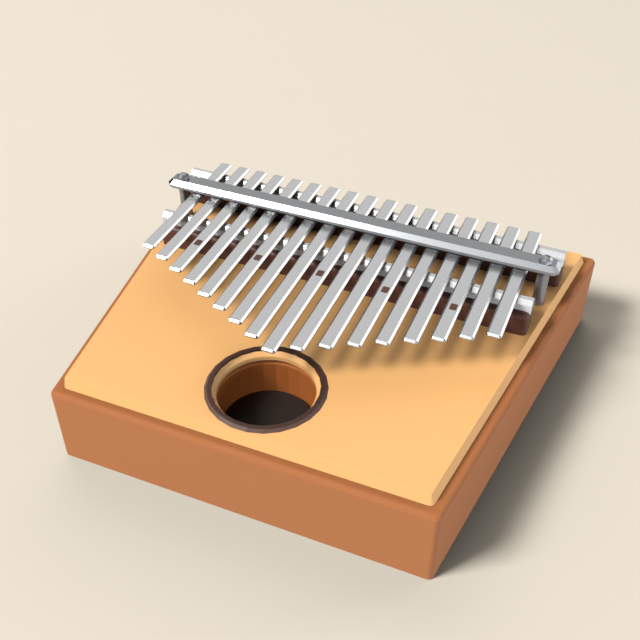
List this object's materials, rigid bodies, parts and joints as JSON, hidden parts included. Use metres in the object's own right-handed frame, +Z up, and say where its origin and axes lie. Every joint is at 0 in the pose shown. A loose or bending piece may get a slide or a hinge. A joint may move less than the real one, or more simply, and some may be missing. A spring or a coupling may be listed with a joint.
{
  "type": "kalimba",
  "caption": "Thumb piano: spring-steel tines clamped by a pressure bar over two saddles on a hollow wooden box with a round sound hole.",
  "frame": {"origin": "centre of the flat bottom, on the surface that the kalimba lies on", "axes": "+X to the player's right along the pressure bar, +Y away from the player along the tines, +Z up"},
  "size_m": [0.1568, 0.13, 0.0489],
  "materials": {
    "box_wood": "satin orange-brown stained hardwood",
    "brace_wood": "bare softwood",
    "well_disc": "matte black stained disc",
    "board_wood": "satin pale golden soundboard",
    "ring_wood": "satin dark brown hardwood",
    "bridge_wood": "satin dark hardwood",
    "saddle_steel": "polished steel",
    "bar_steel": "polished steel",
    "screw_steel": "polished steel",
    "insert_brass": "machined brass",
    "tine_steel": "satin spring steel",
    "mark_enamel": "dark brown satin enamel"
  },
  "bodies": {
    "frame": {"body": "box_wood", "back_plate": "box_wood", "back_brace": "brace_wood", "well_floor": "well_disc", "soundboard": "board_wood", "soundhole_ring": "ring_wood", "front_bridge": "bridge_wood", "rear_bridge": "bridge_wood", "front_saddle": "saddle_steel", "rear_saddle": "saddle_steel", "pressure_bar": "bar_steel", "bar_screws": "screw_steel", "screw_inserts": "insert_brass"},
    "tine_1_root": {"tine_root_1": "tine_steel"},
    "tine_1_blade": {"tine_blade_1": "tine_steel"},
    "tine_2_root": {"tine_root_2": "tine_steel"},
    "tine_2_blade": {"tine_blade_2": "tine_steel"},
    "tine_3_root": {"tine_root_3": "tine_steel"},
    "tine_3_blade": {"tine_blade_3": "tine_steel", "tine_mark_3": "mark_enamel"},
    "tine_4_root": {"tine_root_4": "tine_steel"},
    "tine_4_blade": {"tine_blade_4": "tine_steel"},
    "tine_5_root": {"tine_root_5": "tine_steel"},
    "tine_5_blade": {"tine_blade_5": "tine_steel"},
    "tine_6_root": {"tine_root_6": "tine_steel"},
    "tine_6_blade": {"tine_blade_6": "tine_steel", "tine_mark_6": "mark_enamel"},
    "tine_7_root": {"tine_root_7": "tine_steel"},
    "tine_7_blade": {"tine_blade_7": "tine_steel"},
    "tine_8_root": {"tine_root_8": "tine_steel"},
    "tine_8_blade": {"tine_blade_8": "tine_steel"},
    "tine_9_root": {"tine_root_9": "tine_steel"},
    "tine_9_blade": {"tine_blade_9": "tine_steel", "tine_mark_9": "mark_enamel"},
    "tine_10_root": {"tine_root_10": "tine_steel"},
    "tine_10_blade": {"tine_blade_10": "tine_steel"},
    "tine_11_root": {"tine_root_11": "tine_steel"},
    "tine_11_blade": {"tine_blade_11": "tine_steel"},
    "tine_12_root": {"tine_root_12": "tine_steel"},
    "tine_12_blade": {"tine_blade_12": "tine_steel", "tine_mark_12": "mark_enamel"},
    "tine_13_root": {"tine_root_13": "tine_steel"},
    "tine_13_blade": {"tine_blade_13": "tine_steel"},
    "tine_14_root": {"tine_root_14": "tine_steel"},
    "tine_14_blade": {"tine_blade_14": "tine_steel"},
    "tine_15_root": {"tine_root_15": "tine_steel"},
    "tine_15_blade": {"tine_blade_15": "tine_steel", "tine_mark_15": "mark_enamel"},
    "tine_16_root": {"tine_root_16": "tine_steel"},
    "tine_16_blade": {"tine_blade_16": "tine_steel"},
    "tine_17_root": {"tine_root_17": "tine_steel"},
    "tine_17_blade": {"tine_blade_17": "tine_steel"}
  },
  "joints": [
    {"name": "tine_1_tuning", "type": "slide", "parent": "frame", "child": "tine_1_root", "axis": [0, 1, 0], "range_m": [-0.0012, 0.0012]},
    {"name": "tine_1_pluck", "type": "hinge", "parent": "tine_1_root", "child": "tine_1_blade", "pos_m": [-0.05784, 0.01252, 0.04193], "axis": [1, 0, 0], "range_deg": [-3, 4], "stiffness_Nm_per_rad": 7.21},
    {"name": "tine_2_tuning", "type": "slide", "parent": "frame", "child": "tine_2_root", "axis": [0, 1, 0], "range_m": [-0.0012, 0.0012]},
    {"name": "tine_2_pluck", "type": "hinge", "parent": "tine_2_root", "child": "tine_2_blade", "pos_m": [-0.05061, 0.01252, 0.04193], "axis": [1, 0, 0], "range_deg": [-3, 4], "stiffness_Nm_per_rad": 6.08},
    {"name": "tine_3_tuning", "type": "slide", "parent": "frame", "child": "tine_3_root", "axis": [0, 1, 0], "range_m": [-0.0012, 0.0012]},
    {"name": "tine_3_pluck", "type": "hinge", "parent": "tine_3_root", "child": "tine_3_blade", "pos_m": [-0.04338, 0.01252, 0.04193], "axis": [1, 0, 0], "range_deg": [-3, 4], "stiffness_Nm_per_rad": 5.26},
    {"name": "tine_4_tuning", "type": "slide", "parent": "frame", "child": "tine_4_root", "axis": [0, 1, 0], "range_m": [-0.0012, 0.0012]},
    {"name": "tine_4_pluck", "type": "hinge", "parent": "tine_4_root", "child": "tine_4_blade", "pos_m": [-0.03615, 0.01252, 0.04193], "axis": [1, 0, 0], "range_deg": [-3, 4], "stiffness_Nm_per_rad": 4.63},
    {"name": "tine_5_tuning", "type": "slide", "parent": "frame", "child": "tine_5_root", "axis": [0, 1, 0], "range_m": [-0.0012, 0.0012]},
    {"name": "tine_5_pluck", "type": "hinge", "parent": "tine_5_root", "child": "tine_5_blade", "pos_m": [-0.02892, 0.01252, 0.04193], "axis": [1, 0, 0], "range_deg": [-3, 4], "stiffness_Nm_per_rad": 4.14},
    {"name": "tine_6_tuning", "type": "slide", "parent": "frame", "child": "tine_6_root", "axis": [0, 1, 0], "range_m": [-0.0012, 0.0012]},
    {"name": "tine_6_pluck", "type": "hinge", "parent": "tine_6_root", "child": "tine_6_blade", "pos_m": [-0.02169, 0.01252, 0.04193], "axis": [1, 0, 0], "range_deg": [-3, 4], "stiffness_Nm_per_rad": 3.74},
    {"name": "tine_7_tuning", "type": "slide", "parent": "frame", "child": "tine_7_root", "axis": [0, 1, 0], "range_m": [-0.0012, 0.0012]},
    {"name": "tine_7_pluck", "type": "hinge", "parent": "tine_7_root", "child": "tine_7_blade", "pos_m": [-0.01446, 0.01252, 0.04193], "axis": [1, 0, 0], "range_deg": [-3, 4], "stiffness_Nm_per_rad": 3.41},
    {"name": "tine_8_tuning", "type": "slide", "parent": "frame", "child": "tine_8_root", "axis": [0, 1, 0], "range_m": [-0.0012, 0.0012]},
    {"name": "tine_8_pluck", "type": "hinge", "parent": "tine_8_root", "child": "tine_8_blade", "pos_m": [-0.00723, 0.01252, 0.04193], "axis": [1, 0, 0], "range_deg": [-3, 4], "stiffness_Nm_per_rad": 3.13},
    {"name": "tine_9_tuning", "type": "slide", "parent": "frame", "child": "tine_9_root", "axis": [0, 1, 0], "range_m": [-0.0012, 0.0012]},
    {"name": "tine_9_pluck", "type": "hinge", "parent": "tine_9_root", "child": "tine_9_blade", "pos_m": [0, 0.01252, 0.04193], "axis": [1, 0, 0], "range_deg": [-3, 4], "stiffness_Nm_per_rad": 2.9},
    {"name": "tine_10_tuning", "type": "slide", "parent": "frame", "child": "tine_10_root", "axis": [0, 1, 0], "range_m": [-0.0012, 0.0012]},
    {"name": "tine_10_pluck", "type": "hinge", "parent": "tine_10_root", "child": "tine_10_blade", "pos_m": [0.00723, 0.01252, 0.04193], "axis": [1, 0, 0], "range_deg": [-3, 4], "stiffness_Nm_per_rad": 3.13},
    {"name": "tine_11_tuning", "type": "slide", "parent": "frame", "child": "tine_11_root", "axis": [0, 1, 0], "range_m": [-0.0012, 0.0012]},
    {"name": "tine_11_pluck", "type": "hinge", "parent": "tine_11_root", "child": "tine_11_blade", "pos_m": [0.01446, 0.01252, 0.04193], "axis": [1, 0, 0], "range_deg": [-3, 4], "stiffness_Nm_per_rad": 3.41},
    {"name": "tine_12_tuning", "type": "slide", "parent": "frame", "child": "tine_12_root", "axis": [0, 1, 0], "range_m": [-0.0012, 0.0012]},
    {"name": "tine_12_pluck", "type": "hinge", "parent": "tine_12_root", "child": "tine_12_blade", "pos_m": [0.02169, 0.01252, 0.04193], "axis": [1, 0, 0], "range_deg": [-3, 4], "stiffness_Nm_per_rad": 3.74},
    {"name": "tine_13_tuning", "type": "slide", "parent": "frame", "child": "tine_13_root", "axis": [0, 1, 0], "range_m": [-0.0012, 0.0012]},
    {"name": "tine_13_pluck", "type": "hinge", "parent": "tine_13_root", "child": "tine_13_blade", "pos_m": [0.02892, 0.01252, 0.04193], "axis": [1, 0, 0], "range_deg": [-3, 4], "stiffness_Nm_per_rad": 4.14},
    {"name": "tine_14_tuning", "type": "slide", "parent": "frame", "child": "tine_14_root", "axis": [0, 1, 0], "range_m": [-0.0012, 0.0012]},
    {"name": "tine_14_pluck", "type": "hinge", "parent": "tine_14_root", "child": "tine_14_blade", "pos_m": [0.03615, 0.01252, 0.04193], "axis": [1, 0, 0], "range_deg": [-3, 4], "stiffness_Nm_per_rad": 4.63},
    {"name": "tine_15_tuning", "type": "slide", "parent": "frame", "child": "tine_15_root", "axis": [0, 1, 0], "range_m": [-0.0012, 0.0012]},
    {"name": "tine_15_pluck", "type": "hinge", "parent": "tine_15_root", "child": "tine_15_blade", "pos_m": [0.04338, 0.01252, 0.04193], "axis": [1, 0, 0], "range_deg": [-3, 4], "stiffness_Nm_per_rad": 5.26},
    {"name": "tine_16_tuning", "type": "slide", "parent": "frame", "child": "tine_16_root", "axis": [0, 1, 0], "range_m": [-0.0012, 0.0012]},
    {"name": "tine_16_pluck", "type": "hinge", "parent": "tine_16_root", "child": "tine_16_blade", "pos_m": [0.05061, 0.01252, 0.04193], "axis": [1, 0, 0], "range_deg": [-3, 4], "stiffness_Nm_per_rad": 6.08},
    {"name": "tine_17_tuning", "type": "slide", "parent": "frame", "child": "tine_17_root", "axis": [0, 1, 0], "range_m": [-0.0012, 0.0012]},
    {"name": "tine_17_pluck", "type": "hinge", "parent": "tine_17_root", "child": "tine_17_blade", "pos_m": [0.05784, 0.01252, 0.04193], "axis": [1, 0, 0], "range_deg": [-3, 4], "stiffness_Nm_per_rad": 7.21}
  ]
}
